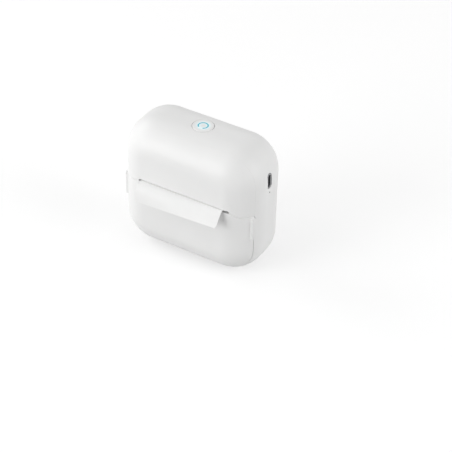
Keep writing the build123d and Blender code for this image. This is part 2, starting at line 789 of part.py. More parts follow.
with BuildPart() as heat_sink:
    with BuildSketch(side_plane(-head_half_length)):
        with BuildLine():
            Polyline(
                head_point(head_ahead - 0.5, board_over),
                head_point(-head_behind, board_over),
                head_point(-head_behind, sink_over),
                head_point(head_ahead - 0.5, sink_over),
                close=True,
            )
        make_face()
    extrude(amount=2 * head_half_length)
    for side in (-1, 1):
        ear_start = sink_end_x - 2.0 if side > 0 else -sink_end_x
        with BuildSketch(side_plane(ear_start)):
            with Locations((trunnion_y, trunnion_z)):
                Circle(trunnion_radius + 0.9)
            with BuildLine():
                Polyline(
                    head_point(trunnion_along - 1.9, trunnion_up),
                    head_point(trunnion_along - 1.0, board_over),
                    head_point(trunnion_along + 3.0, board_over),
                    head_point(trunnion_along + 1.9, trunnion_up),
                    close=True,
                )
            make_face()
        extrude(amount=2.0)
        bar((side * (sink_end_x - 1), trunnion_y, trunnion_z), (side * frame_outer_x, trunnion_y, trunnion_z),
            trunnion_radius)
save(heat_sink.part, "heat_sink")

# Leaf spring between the bridge and the heat sink
press_y, press_z = head_point(head_ahead - 2.5, sink_over + 0.2)
with BuildPart() as head_spring:
    for spring_x in (-head_spring_spacing, 0, head_spring_spacing):
        with BuildSketch(side_plane(spring_x - head_spring_width / 2)):
            with BuildLine():
                leaf = Polyline(
                    (bridge_back_y - 0.6, bridge_z - head_spring_thickness / 2),
                    (bridge_back_y - 4.6, bridge_z - head_spring_thickness / 2),
                    (press_y + 1.4, press_z + 1.2),
                    (press_y, press_z + head_spring_thickness / 2),
                    (press_y - 1.6, press_z + 1.2),
                )
            trace(leaf, head_spring_thickness)
        extrude(amount=head_spring_width)
    spring_root = (bridge_back_y - 4.6, bridge_back_y - 0.6)
    add(slab(-head_spring_spacing, head_spring_spacing, *spring_root, bridge_z - head_spring_thickness, bridge_z))
save(head_spring.part, "head_spring")

# Tear bar: a thin steel strip with pointed teeth, behind the slot's upper edge
with BuildPart() as tear_bar:
    with BuildSketch(front_plane(inner_front_y + tear_bar_gap + tear_bar_thickness)):
        with BuildLine():
            edge_points = []
            tooth_count = int(2 * tear_bar_half_length / tear_tooth_pitch)
            for index in range(tooth_count):
                tooth_x = -tear_bar_half_length + index * 2 * tear_bar_half_length / tooth_count
                edge_points.append((tooth_x, tear_tip_z + tear_tooth_height))
                edge_points.append((tooth_x + tear_bar_half_length / tooth_count, tear_tip_z))
            edge_points.append((tear_bar_half_length, tear_tip_z + tear_tooth_height))
            edge_points.append((tear_bar_half_length, tear_tip_z + tear_bar_height))
            edge_points.append((-tear_bar_half_length, tear_tip_z + tear_bar_height))
            Polyline(edge_points, close=True)
        make_face()
    extrude(amount=tear_bar_thickness)
save(tear_bar.part, "tear_bar")

# Roll cradle: a trough with two cheeks and two feet on the case floor
cradle_radius = roll_radius + cradle_play
cradle_outer = cradle_radius + cradle_wall
cheek_inner_x = paper_width / 2 + 0.6
cradle_half_length = cheek_inner_x + cradle_wall
trough_from = radians(cradle_front_angle)
trough_to = radians(cradle_back_angle)
with BuildPart() as roll_cradle:
    with BuildSketch(side_plane(-cradle_half_length)):
        with Locations((roll_y, cradle_z)):
            Circle(cradle_outer)
            Circle(cradle_radius, mode=Mode.SUBTRACT)
        with BuildLine():
            mouth_reach = 2 * cradle_outer
            Polyline(
                (roll_y, cradle_z),
                (roll_y + mouth_reach * cos(trough_to), cradle_z + mouth_reach * sin(trough_to)),
                (roll_y - mouth_reach, cradle_z + 2 * mouth_reach),
                (roll_y + mouth_reach * cos(trough_from), cradle_z + mouth_reach * sin(trough_from)),
                close=True,
            )
        make_face(mode=Mode.SUBTRACT)
    extrude(amount=2 * cradle_half_length)
    for side in (-1, 1):
        cheek_x = cheek_inner_x if side > 0 else -cradle_half_length
        with BuildSketch(side_plane(cheek_x)):
            with Locations((roll_y, cradle_z)):
                Circle(cradle_outer)
                with Locations((-cradle_outer, cradle_outer)):
                    Circle(cradle_outer, mode=Mode.SUBTRACT)
        extrude(amount=cradle_wall)
        foot_x = side * cradle_foot_x
        half_foot = cradle_foot_width / 2
        foot_box = slab(
            foot_x - half_foot, foot_x + half_foot,
            roll_y - cradle_foot_depth / 2, roll_y + 3.5,
            case_bottom_z + wall, cradle_z - cradle_radius,
        )
        add(foot_box)
    bar((-cheek_inner_x, roll_y, cradle_z), (cheek_inner_x, roll_y, cradle_z), cradle_radius, Mode.SUBTRACT)
save(roll_cradle.part, "roll_cradle")

# Paper roll on its core
with BuildPart() as paper_roll:
    roll_start = (-paper_width / 2, roll_y, roll_z)
    roll_end = (paper_width / 2, roll_y, roll_z)
    bar(roll_start, roll_end, roll_radius)
    bar(roll_start, roll_end, core_radius + press_play, Mode.SUBTRACT)
save(paper_roll.part, "paper_roll")

with BuildPart() as roll_core:
    bar(roll_start, roll_end, core_radius)
    bar(roll_start, roll_end, core_bore_radius, Mode.SUBTRACT)
save(roll_core.part, "roll_core")

# Paper web: off the top of the roll, over the platen, out of the slot and down
web_radius = platen_radius + paper_play + paper_thickness / 2
web_roll_radius = roll_radius + paper_play + paper_thickness / 2
span_y = platen_y - roll_y
span_z = platen_z - roll_z
span = hypot(span_y, span_z)
web_angle = degrees(atan2(span_z, span_y)) - degrees(acos((web_roll_radius - web_radius) / span))
web_lean = radians(web_angle)
web_start = (roll_y + web_roll_radius * cos(web_lean), roll_z + web_roll_radius * sin(web_lean))
slot_entry = head_point(strip_straight, web_radius)
with BuildPart() as paper_strip:
    with BuildSketch(side_plane(-paper_width / 2)):
        with BuildLine() as web:
            up_to_platen = Line(
                web_start,
                (platen_y + web_radius * cos(web_lean), platen_z + web_radius * sin(web_lean)),
            )
            wrap = CenterArc((platen_y, platen_z), web_radius, web_angle, head_angle - web_angle)
            to_slot = Line(wrap @ 1, slot_entry)
            over_lip = JernArc(to_slot @ 1, to_slot % 1, lip_bend_radius, lip_bend_angle)
            JernArc(over_lip @ 1, over_lip % 1, strip_bend_radius, strip_bend_angle)
        trace(web.line, paper_thickness)
    extrude(amount=paper_width)
save(paper_strip.part, "paper_strip")

# Power button: cap with a retaining flange and a stem, and the C-shaped light ring set into it
button_top_z = case_top_z + button_proud
button_under_z = case_top_z - wall - moving_gap
switch_top_z = switch_board_z + board_thickness + switch_height
plunger_top_z = switch_top_z + plunger_height
ring_facing = radians(ring_gap_facing)
ring_half_gap = radians(ring_gap_angle / 2)
ring_reach = 2 * ring_radius
gap_corners = [(button_x, button_y)]
for turn in (ring_facing - ring_half_gap, ring_facing + ring_half_gap):
    gap_corners.append((button_x + ring_reach * cos(turn), button_y + ring_reach * sin(turn)))
with BuildPart() as power_button:
    bar((button_x, button_y, button_under_z), (button_x, button_y, button_top_z), button_radius)
    fillet(power_button.edges().group_by(Axis.Z)[-1], 0.5)
    flange_bottom = (button_x, button_y, button_under_z - button_flange)
    bar(flange_bottom, (button_x, button_y, button_under_z), button_radius + button_flange)
    bar((button_x, button_y, plunger_top_z), flange_bottom, button_stem_radius)
    with BuildSketch(Plane.XY.offset(button_top_z)):
        with Locations((button_x, button_y)):
            Circle(ring_radius + ring_width / 2 + press_play)
            Circle(ring_radius - ring_width / 2 - press_play, mode=Mode.SUBTRACT)
        with BuildLine():
            Polyline(gap_corners, close=True)
        make_face(mode=Mode.SUBTRACT)
    extrude(amount=-ring_depth, mode=Mode.SUBTRACT)
save(power_button.part, "power_button")

with BuildPart() as light_ring:
    with BuildSketch(Plane.XY.offset(button_top_z)):
        with Locations((button_x, button_y)):
            Circle(ring_radius + ring_width / 2)
            Circle(ring_radius - ring_width / 2, mode=Mode.SUBTRACT)
        with BuildLine():
            Polyline(gap_corners, close=True)
        make_face(mode=Mode.SUBTRACT)
    extrude(amount=-ring_depth)
save(light_ring.part, "light_ring")

# Switch under the button, on its own small board
with BuildPart() as button_board:
    with BuildSketch(Plane.XY.offset(switch_board_z)):
        switch_board_depth = switch_board_back_y - switch_board_front_y
        with Locations((0, (switch_board_back_y + switch_board_front_y) / 2)):
            RectangleRounded(2 * switch_board_half_width, switch_board_depth, 1.0)
        with Locations(
            (-switch_board_screw_x, switch_board_screw_y), (switch_board_screw_x, switch_board_screw_y)
        ):
            Circle(screw_radius + screw_hole_play, mode=Mode.SUBTRACT)
    extrude(amount=board_thickness)
save(button_board.part, "button_board")

plunger_bottom_z = switch_top_z - 0.5
with BuildPart() as tact_switch:
    with BuildSketch(Plane.XY.offset(switch_top_z - switch_height)):
        with Locations((button_x, button_y)):
            RectangleRounded(switch_size, switch_size, 0.4)
    extrude(amount=switch_height)
    bore_bottom = (button_x, button_y, plunger_bottom_z - 0.5)
    bar(bore_bottom, (button_x, button_y, switch_top_z + 1), plunger_radius + hinge_running_play, Mode.SUBTRACT)
save(tact_switch.part, "tact_switch")

with BuildPart() as switch_plunger:
    bar((button_x, button_y, plunger_bottom_z), (button_x, button_y, plunger_top_z), plunger_radius)
save(switch_plunger.part, "switch_plunger")

# Status light, seen as a pin hole under the USB socket
with BuildPart() as status_lens:
    bar((half_width - wall - 0.8, status_y, status_z), (half_width - 0.1, status_y, status_z), status_radius)
save(status_lens.part, "status_lens")

# USB-C socket: metal shell and the tongue inside it
usb_back_x = usb_mouth_x - usb_length
with BuildPart() as usb_socket:
    with BuildSketch(side_plane(usb_back_x)):
        with Locations((usb_y, usb_z)):
            SlotOverall(usb_width, usb_height, rotation=90)
    extrude(amount=usb_length)
    with BuildSketch(side_plane(usb_back_x + 0.5)):
        with Locations((usb_y, usb_z)):
            SlotOverall(usb_width - 2 * usb_wall, usb_height - 2 * usb_wall, rotation=90)
    extrude(amount=usb_length, mode=Mode.SUBTRACT)
save(usb_socket.part, "usb_socket")

with BuildPart() as usb_tongue:
    with BuildSketch(side_plane(usb_back_x + 0.5)):
        with Locations((usb_y, usb_z)):
            Rectangle(usb_tongue_height, usb_tongue_width)
    extrude(amount=usb_length - 1.3)
    fillet(usb_tongue.edges().filter_by(Axis.Y).group_by(Axis.X)[-1], 0.3)
save(usb_tongue.part, "usb_tongue")

# Main board, with a wing on each side for the screws and the socket
with BuildPart() as main_board:
    with BuildSketch(front_plane(board_back_y)):
        with BuildLine():
            Polyline(
                (board_left_x, left_wing_bottom_z),
                (-board_half_width, left_wing_bottom_z),
                (-board_half_width, board_bottom_z),
                (board_right_x, board_bottom_z),
                (board_right_x, right_wing_top_z),
                (board_half_width, right_wing_top_z),
                (board_half_width, board_top_z),
                (-board_half_width, board_top_z),
                (-board_half_width, left_wing_top_z),
                (board_left_x, left_wing_top_z),
                close=True,
            )
        make_face()
        with Locations((-board_screw_x, board_screw_z), (board_screw_x, board_screw_z)):
            Circle(screw_radius + screw_hole_play, mode=Mode.SUBTRACT)
    extrude(amount=board_thickness)
save(main_board.part, "main_board")

# Chips on the front of the main board: place, size and height of each
chips = (
    (-10.0, 66.5, 8.0, 8.0, 1.0),
    (2.0, 68.0, 10.0, 7.0, 1.8),
    (13.0, 66.0, 4.0, 4.0, 0.9),
    (14.0, 59.5, 4.5, 4.5, 2.6),
    (-13.5, 58.5, 4.0, 6.0, 2.0),
)
with BuildPart() as board_chips:
    for chip_x, chip_z, chip_width, chip_height, chip_depth in chips:
        with BuildSketch(front_plane(board_y)):
            with Locations((chip_x, chip_z)):
                Rectangle(chip_width, chip_height)
        extrude(amount=chip_depth)
save(board_chips.part, "board_chips")

# Flex cable of the head and its socket
with BuildPart() as flex_socket:
    with BuildSketch(front_plane(board_y)):
        with Locations((0, flex_socket_z + flex_socket_height / 2)):
            Rectangle(flex_width + 3.0, flex_socket_height)
    extrude(amount=2.2)
save(flex_socket.part, "flex_socket")

flex_start = head_point(-head_behind - moving_gap, board_under)
with BuildPart() as head_flex:
    with BuildSketch(side_plane(-flex_width / 2)):
        with BuildLine():
            flex_line = FilletPolyline(
                flex_start,
                (flex_start[0] + 2.4, flex_start[1] + 2.0),
                (flex_start[0] + 2.6, frame_top_z),
                (board_y - 1.1, flex_socket_z - 2.5),
                (board_y - 1.1, flex_socket_z),
                radius=0.9,
            )
        trace(flex_line, flex_thickness)
    extrude(amount=flex_width)
save(head_flex.part, "head_flex")

# Battery, its lead and the lead's plug
with BuildPart() as battery:
    with BuildSketch(front_plane(battery_y + battery_depth)):
        with Locations((0, battery_z + battery_height / 2)):
            Rectangle(battery_length, battery_height)
    extrude(amount=battery_depth)
    fillet(battery.edges().filter_by(Axis.X), 1.5)
save(battery.part, "battery")

with BuildPart() as battery_plug:
    with BuildSketch(front_plane(board_y)):
        with Locations((-plug_outer_x + plug_width / 2, lead_z)):
            Rectangle(plug_width, plug_height)
    extrude(amount=4.4)
save(battery_plug.part, "battery_plug")

lead_back_y = battery_y + battery_depth / 2
lead_front_y = board_y - 2.2
with BuildPart() as battery_lead:
    for lead_offset in (-lead_spacing / 2, lead_spacing / 2):
        with BuildLine() as lead_path:
            FilletPolyline(
                (-battery_length / 2, lead_back_y, lead_z + lead_offset),
                (-lead_outer_x, lead_back_y, lead_z + lead_offset),
                (-lead_outer_x, lead_front_y, lead_z + lead_offset),
                (-plug_outer_x, lead_front_y, lead_z + lead_offset),
                radius=lead_bend,
            )
        with BuildSketch(Plane(origin=lead_path.line @ 0, z_dir=lead_path.line % 0)):
            Circle(lead_radius)
        sweep(path=lead_path.line)
save(battery_lead.part, "battery_lead")

# Switch that tells whether the cover is closed, on the right frame plate
with BuildPart() as cover_switch:
    add(slab(frame_outer_x, frame_outer_x + 2.8, platen_y + 3.4, platen_y + 8.8, platen_z - 2.5, platen_z + 2.0))
    add(slab(frame_outer_x + 0.6, frame_outer_x + 2.2, platen_y + 2.7, platen_y + 3.4, platen_z - 1.5, platen_z + 1.5))
save(cover_switch.part, "cover_switch")

# Foot pad under the case
with BuildPart() as foot_pad:
    with BuildSketch(Plane.XY):
        with Locations((0, foot_centre_y)):
            RectangleRounded(foot_length, foot_depth, foot_corner - lip_play)
    extrude(amount=case_bottom_z + foot_recess)
    fillet(foot_pad.edges().group_by(Axis.Z)[0], 0.2)
save(foot_pad.part, "foot_pad")


def screw_group(places, towards, length):
    """Several like screws as one group of separate solids."""
    return Compound(children=[pan_screw(place, towards, length) for place in places])


# Screws
case_screw_places = [
    (side * boss_x, case_screw_seat_y, boss_z) for side in (-1, 1) for boss_x, boss_z in case_boss_places
]
case_screw_length = case_screw_seat_y - case_boss_meet_y + thread_length - 0.5
save(screw_group(case_screw_places, (0, -1, 0), case_screw_length), "case_screws")
frame_screw_places = [(side * frame_screw_x, flange_front_y, frame_screw_z) for side in (-1, 1)]
save(screw_group(frame_screw_places, (0, 1, 0), thread_length), "frame_screws")
board_screw_places = [(side * board_screw_x, board_y, board_screw_z) for side in (-1, 1)]
save(screw_group(board_screw_places, (0, 1, 0), thread_length), "board_screws")
switch_screw_places = [
    (side * switch_board_screw_x, switch_board_screw_y, switch_board_z) for side in (-1, 1)
]
save(screw_group(switch_screw_places, (0, 0, 1), switch_thread_length + 0.6), "button_board_screws")
motor_screw_places = []
for angle in motor_ear_angles:
    ear_turn = radians(angle)
    ear_y = motor_y + motor_ear_reach * cos(ear_turn)
    ear_z = motor_z + motor_ear_reach * sin(ear_turn)
    motor_screw_places.append((-frame_inner_x + motor_flange, ear_y, ear_z))
save(screw_group(motor_screw_places, (-1, 0, 0), motor_flange + frame_thickness + 0.3), "motor_screws")
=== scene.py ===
import json
import math

import bpy
from mathutils import Matrix, Vector


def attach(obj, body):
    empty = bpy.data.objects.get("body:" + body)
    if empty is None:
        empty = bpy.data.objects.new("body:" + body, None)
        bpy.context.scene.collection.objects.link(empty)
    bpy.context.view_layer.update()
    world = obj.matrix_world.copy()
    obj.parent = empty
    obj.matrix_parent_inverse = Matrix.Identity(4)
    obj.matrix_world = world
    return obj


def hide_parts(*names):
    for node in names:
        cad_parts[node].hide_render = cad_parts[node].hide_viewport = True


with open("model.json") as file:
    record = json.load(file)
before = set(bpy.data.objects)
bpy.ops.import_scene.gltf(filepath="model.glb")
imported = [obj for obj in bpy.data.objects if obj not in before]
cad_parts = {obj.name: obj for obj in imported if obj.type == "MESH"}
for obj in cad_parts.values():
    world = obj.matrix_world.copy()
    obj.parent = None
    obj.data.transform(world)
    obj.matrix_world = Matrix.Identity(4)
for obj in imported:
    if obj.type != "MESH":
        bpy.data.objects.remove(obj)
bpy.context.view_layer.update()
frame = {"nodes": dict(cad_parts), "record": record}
nodes = frame["nodes"]
scene = bpy.context.scene
MM = 0.001


# Camera, fitted to the case's outline in the photograph: metres, degrees, and millimetres of lens
CAMERA_PLACE = (0.376578, -0.629738, 0.573509)
CAMERA_AZIMUTH = 29.7511
CAMERA_ELEVATION = 37.3717
CAMERA_ROLL = 1.64845
CAMERA_LENS = 127.288
CAMERA_SENSOR = 36.0
CAMERA_NEAR = 0.05
CAMERA_FAR = 20.0


def make_camera():
    azimuth, elevation, roll = map(math.radians, (CAMERA_AZIMUTH, CAMERA_ELEVATION, CAMERA_ROLL))
    back = Vector((
        math.sin(azimuth) * math.cos(elevation),
        -math.cos(azimuth) * math.cos(elevation),
        math.sin(elevation),
    ))
    level_right = Vector((math.cos(azimuth), math.sin(azimuth), 0))
    level_up = back.cross(level_right)
    right = level_right * math.cos(roll) + level_up * math.sin(roll)
    up = level_up * math.cos(roll) - level_right * math.sin(roll)
    data = bpy.data.cameras.new("camera")
    data.lens = CAMERA_LENS
    data.sensor_width = CAMERA_SENSOR
    data.clip_start = CAMERA_NEAR
    data.clip_end = CAMERA_FAR
    camera = bpy.data.objects.new("camera", data)
    scene.collection.objects.link(camera)
    turn = Matrix((right, up, back)).transposed().to_4x4()
    camera.matrix_world = Matrix.Translation(CAMERA_PLACE) @ turn
    scene.camera = camera


# Noise is centred on 0.5, and nearly all of it lies between these two levels
NOISE_LOW = 0.3
NOISE_HIGH = 0.7
NOISE_ROUGHNESS = 0.5
UNSTRETCHED = (1, 1, 1)


class Shader:
    """A material's node tree, built up by short calls."""

    def __init__(self, name):
        self.material = bpy.data.materials.new(name)
        self.material.use_nodes = True
        self.tree = self.material.node_tree
        self.tree.nodes.clear()
        self.output = self.tree.nodes.new("ShaderNodeOutputMaterial")
        self.surface = self.tree.nodes.new("ShaderNodeBsdfPrincipled")
        self.link(self.surface.outputs[0], self.output.inputs["Surface"])
        self.place = self.tree.nodes.new("ShaderNodeTexCoord").outputs["Object"]

    def link(self, source, target):
        self.tree.links.new(source, target)

    def set(self, **values):
        for name, value in values.items():
            self.surface.inputs[name.replace("_", " ")].default_value = value

    def math(self, operation, *values):
        node = self.tree.nodes.new("ShaderNodeMath")
        node.operation = operation
        for index, value in enumerate(values):
            if isinstance(value, (int, float)):
                node.inputs[index].default_value = value
            else:
                self.link(value, node.inputs[index])
        return node.outputs[0]

    def noise(self, scale, detail, roughness=NOISE_ROUGHNESS, stretch=UNSTRETCHED):
        mapping = self.tree.nodes.new("ShaderNodeMapping")
        mapping.inputs["Scale"].default_value = stretch
        self.link(self.place, mapping.inputs["Vector"])
        node = self.tree.nodes.new("ShaderNodeTexNoise")
        node.inputs["Scale"].default_value = scale
        node.inputs["Detail"].default_value = detail
        node.inputs["Roughness"].default_value = roughness
        self.link(mapping.outputs[0], node.inputs["Vector"])
        return node.outputs[0]

    def axes(self):
        node = self.tree.nodes.new("ShaderNodeSeparateXYZ")
        self.link(self.place, node.inputs[0])
        return node.outputs

    def radius(self, first, second, centre):
        """Distance from an axis, from two coordinates and the axis's place in them."""
        across = self.math("SUBTRACT", first, centre[0])
        along = self.math("SUBTRACT", second, centre[1])
        total = self.math("ADD", self.math("MULTIPLY", across, across), self.math("MULTIPLY", along, along))
        return self.math("SQRT", total)

    def blend(self, value, first, second, low=NOISE_LOW, high=NOISE_HIGH):
        """The first colour up to the low level of the value, the second from the high level on."""
        node = self.tree.nodes.new("ShaderNodeValToRGB")
        for element, at, colour in zip(node.color_ramp.elements, (low, high), (first, second)):
            element.position = at
            element.color = (*colour, 1)
        self.link(value, node.inputs[0])
        return node.outputs[0]

    def span(self, value, low, high, to_low, to_high):
        node = self.tree.nodes.new("ShaderNodeMapRange")
        for name, number in (("From Min", low), ("From Max", high), ("To Min", to_low), ("To Max", to_high)):
            node.inputs[name].default_value = number
        self.link(value, node.inputs["Value"])
        return node.outputs[0]

    def gloss(self, value, roughness, drift):
        """Roughness that drifts to both sides with a noise."""
        level = self.span(value, NOISE_LOW, NOISE_HIGH, roughness - drift, roughness + drift)
        self.link(level, self.surface.inputs["Roughness"])

    def colour(self, source):
        self.link(source, self.surface.inputs["Base Color"])

    def bump(self, height, strength, distance):
        node = self.tree.nodes.new("ShaderNodeBump")
        node.inputs["Strength"].default_value = strength
        node.inputs["Distance"].default_value = distance
        self.link(height, node.inputs["Height"])
        self.link(node.outputs[0], self.surface.inputs["Normal"])


def toned(colour, factor):
    return tuple(part * factor for part in colour)


# Grains: scale and strength of the relief, whose height is in metres
RELIEF = 0.00002
MOULDED = (3500.0, 0.15)
RUBBERY = (2500.0, 0.35)
FIBROUS = (900.0, 0.4)
DRAWN = (900.0, 0.2)
CRINKLED = (500.0, 0.4)
BRUSHED = (1, 12, 12)
GRAIN_DETAIL = 2.0
TONE_DETAIL = 3.0
GLOSS_DETAIL = 4.0

PLASTIC_TONE_SCALE = 35.0
PLASTIC_TONE_DRIFT = 0.012
PLASTIC_GLOSS_SCALE = 120.0
PLASTIC_GLOSS_DRIFT = 0.03
PLASTIC_SPECULAR = 0.5

METAL_DARKER = 0.9
METAL_TONE_COARSER = 8
METAL_GLOSS_COARSER = 3
METAL_GLOSS_DRIFT = 0.06

PAPER_ROUGHNESS = 0.62
PAPER_SPECULAR = 0.35
PAPER_DARKER = 0.985
PAPER_CLOUD_SCALE = 160.0
PAPER_CLOUD_DETAIL = 5.0
PAPER_CLOUD_ROUGHNESS = 0.6
PAPER_CLOUD_LOW = 0.35
PAPER_CLOUD_HIGH = 0.65
PAPER_GRAIN = (1400.0, 0.12)
PAPER_GRAIN_DETAIL = 3.0


def plastic(name, colour, roughness, grain):
    """Moulded plastic: a fine etched grain, with slight drifts of tone and gloss."""
    shader = Shader(name)
    scale, strength = grain
    darker = toned(colour, 1 - PLASTIC_TONE_DRIFT)
    lighter = tuple(min(1.0, part) for part in toned(colour, 1 + PLASTIC_TONE_DRIFT))
    shader.colour(shader.blend(shader.noise(PLASTIC_TONE_SCALE, TONE_DETAIL), darker, lighter))
    shader.gloss(shader.noise(PLASTIC_GLOSS_SCALE, GLOSS_DETAIL), roughness, PLASTIC_GLOSS_DRIFT)
    shader.surface.inputs["Specular IOR Level"].default_value = PLASTIC_SPECULAR
    shader.bump(shader.noise(scale, GRAIN_DETAIL), strength, RELIEF)
    return shader


def metal(name, colour, roughness, grain, stretch):
    """Plain or brushed metal, with a drawn grain along the short axis of the stretch."""
    shader = Shader(name)
    scale, strength = grain
    shader.set(Metallic=1.0)
    tone = shader.noise(scale / METAL_TONE_COARSER, TONE_DETAIL, stretch=stretch)
    shader.colour(shader.blend(tone, toned(colour, METAL_DARKER), colour))
    shine = shader.noise(scale / METAL_GLOSS_COARSER, GLOSS_DETAIL, stretch=stretch)
    shader.gloss(shine, roughness, METAL_GLOSS_DRIFT)
    shader.bump(shader.noise(scale, GRAIN_DETAIL, stretch=stretch), strength, RELIEF)
    return shader


def paper_shader(name, colour):
    """Coated paper: matt, with a faint fibre cloud and a slight drift of tone."""
    shader = Shader(name)
    scale, strength = PAPER_GRAIN
    cloud = shader.noise(PAPER_CLOUD_SCALE, PAPER_CLOUD_DETAIL, PAPER_CLOUD_ROUGHNESS)
    darker = toned(colour, PAPER_DARKER)
    shader.colour(shader.blend(cloud, darker, colour, PAPER_CLOUD_LOW, PAPER_CLOUD_HIGH))
    shader.set(Roughness=PAPER_ROUGHNESS)
    shader.surface.inputs["Specular IOR Level"].default_value = PAPER_SPECULAR
    shader.bump(shader.noise(scale, PAPER_GRAIN_DETAIL), strength, RELIEF)
    return shader


# The button's cap, and the ring of light let into it, in metres
CASE_WHITE = (0.83, 0.83, 0.825)
CASE_ROUGHNESS = 0.42
BUTTON_CENTRE = (0.0001, 0.0004)
RING_RADIUS = 0.00275
RING_COLOUR = (0.04, 0.26, 0.31, 1)
RING_DIM = (0.0, 0.17, 0.23)
RING_BRIGHT = (0.003, 0.21, 0.27)
RING_SPECKLE_SCALE = 700.0
RING_ROUGHNESS = 0.3
RING_STRENGTH = 1.0
# Painted glow on the cap: how far out from the ring the emission reaches, its falloff, strength and colour
GLOW_REACH = 0.0032
GLOW_FALL = 2.4
GLOW_STRENGTH = 0.28
GLOW_COLOUR = (0.25, 0.85, 1.0, 1)


def button_shader():
    """The white cap, with a painted glow: emission that stands in for the light the lit ring throws on it.
    """
    shader = plastic("button_plastic", CASE_WHITE, CASE_ROUGHNESS, MOULDED)
    x, y, _ = shader.axes()
    from_centre = shader.radius(x, y, BUTTON_CENTRE)
    away = shader.math("ABSOLUTE", shader.math("SUBTRACT", from_centre, RING_RADIUS))
    # Painted light: emission on the cap, brightest at the ring and fading outwards, in place of the ring's
    # light
    glow = shader.math("POWER", shader.span(away, 0.0, GLOW_REACH, 1.0, 0.0), GLOW_FALL)
    shader.surface.inputs["Emission Color"].default_value = GLOW_COLOUR
    shader.link(shader.math("MULTIPLY", glow, GLOW_STRENGTH), shader.surface.inputs["Emission Strength"])
    return shader


def ring_shader():
    """The ring's diffuser, lit from below and faintly speckled."""
    shader = Shader("lit_ring")
    speckle = shader.noise(RING_SPECKLE_SCALE, GRAIN_DETAIL)
    shader.link(shader.blend(speckle, RING_DIM, RING_BRIGHT), shader.surface.inputs["Emission Color"])
    shader.set(Base_Color=RING_COLOUR, Roughness=RING_ROUGHNESS, Emission_Strength=RING_STRENGTH)
    return shader


# The roll and its turns, in metres
ROLL_WHITE = (0.86, 0.86, 0.85)
ROLL_AXIS = (0.002, 0.0197)
TURN_PITCH = 0.00024
TURN_STRENGTH = 0.5
TURN_RELIEF = 0.00003


def roll_shader():
    """Wound paper: plain round the outside, fine rings on the ends."""
    shader = paper_shader("roll_paper", ROLL_WHITE)
    _, y, z = shader.axes()
    from_axis = shader.radius(y, z, ROLL_AXIS)
    turns = shader.math("SINE", shader.math("MULTIPLY", from_axis, 2 * math.pi / TURN_PITCH))
    shader.bump(turns, TURN_STRENGTH, TURN_RELIEF)
    return shader


BOARD_ROUGHNESS = 0.32
TRACK_SCALE = 420.0
TRACK_EDGE = 0.02
TRACK_END = 0.09
TRACK_GREEN = (0.012, 0.11, 0.055)
MASK_GREEN = (0.006, 0.06, 0.03)


def board_shader():
    """Green solder mask with a faint pattern of tracks under it."""
    shader = Shader("board")
    tracks = shader.tree.nodes.new("ShaderNodeTexVoronoi")
    tracks.feature = "DISTANCE_TO_EDGE"
    tracks.inputs["Scale"].default_value = TRACK_SCALE
    shader.link(shader.place, tracks.inputs["Vector"])
    shader.colour(shader.blend(tracks.outputs[0], TRACK_GREEN, MASK_GREEN, TRACK_EDGE, TRACK_END))
    shader.set(Roughness=BOARD_ROUGHNESS)
    return shader


# Finishes by material slot: colour, roughness and grain, and the stretch of a metal's grain
PAPER_WHITE = (0.88, 0.88, 0.875)
PLASTICS = {
    "case_plastic": (CASE_WHITE, CASE_ROUGHNESS, MOULDED),
    "dark_plastic": ((0.018, 0.018, 0.02), 0.45, MOULDED),
    "gear_plastic": ((0.74, 0.72, 0.64), 0.38, MOULDED),
    "clear_plastic": ((0.10, 0.105, 0.11), 0.15, MOULDED),
    "ceramic": ((0.13, 0.075, 0.04), 0.2, MOULDED),
    "amber_film": ((0.45, 0.18, 0.02), 0.25, MOULDED),
    "lead": ((0.42, 0.02, 0.015), 0.45, MOULDED),
    "black_rubber": ((0.02, 0.02, 0.02), 0.6, RUBBERY),
    "foot_rubber": ((0.25, 0.25, 0.25), 0.7, RUBBERY),
    "card": ((0.36, 0.24, 0.13), 0.75, FIBROUS),
}
METALS = {
    "steel": ((0.60, 0.61, 0.63), 0.30, DRAWN, UNSTRETCHED),
    "brass": ((0.72, 0.50, 0.22), 0.28, DRAWN, UNSTRETCHED),
    "aluminium": ((0.72, 0.73, 0.75), 0.34, DRAWN, BRUSHED),
    "foil": ((0.55, 0.57, 0.60), 0.42, CRINKLED, UNSTRETCHED),
}


def paint_nodes():
    finishes = {name: plastic(name, *look) for name, look in PLASTICS.items()}
    finishes.update({name: metal(name, *look) for name, look in METALS.items()})
    finishes["button_plastic"] = button_shader()
    finishes["lit_ring"] = ring_shader()
    finishes["board"] = board_shader()
    finishes["paper"] = paper_shader("paper", PAPER_WHITE)
    slots = {row["node"]: row["material_slot"] for row in frame["record"]["subparts"]}
    for name, node in nodes.items():
        finish = roll_shader() if name == "paper_roll" else finishes[slots[name]]
        node.data.materials.clear()
        node.data.materials.append(finish.material)
    return finishes


# Paper web, in millimetres and degrees. It keeps the line of the strip in the CAD part,
# with the free end twisted as in the photograph
PAPER_HALF_WIDTH = 26.5
PAPER_THICKNESS = 0.12
PAPER_TOOTH = 0.28
PAPER_SHARP_ANGLE = 40.0
PLATEN = (-12.9, 40.75)
WEB_RADIUS = 4.18
ROLL_CENTRE = (2.0, 19.7)
ROLL_WEB_RADIUS = 12.68
HEAD_ANGLE = 72.0
TO_SLOT = 10.4
# Control points of the free end, out from the slot, as Y and Z
SLOT_EXIT = Vector((-21.5, 48.13))
LEFT_END = (SLOT_EXIT, Vector((-25.6, 49.0)), Vector((-29.4, 47.0)), Vector((-28.9, 38.3)))
RIGHT_END = (SLOT_EXIT, Vector((-23.8, 47.9)), Vector((-25.8, 43.4)), Vector((-29.6, 41.1)))
# Facets along the web and across it
ROLL_STEPS = 10
PLATEN_STEPS = 4
SLOT_STEPS = 6
END_STEPS = 32
COLUMNS = 88


def direction(angle):
    return Vector((math.cos(angle), math.sin(angle)))


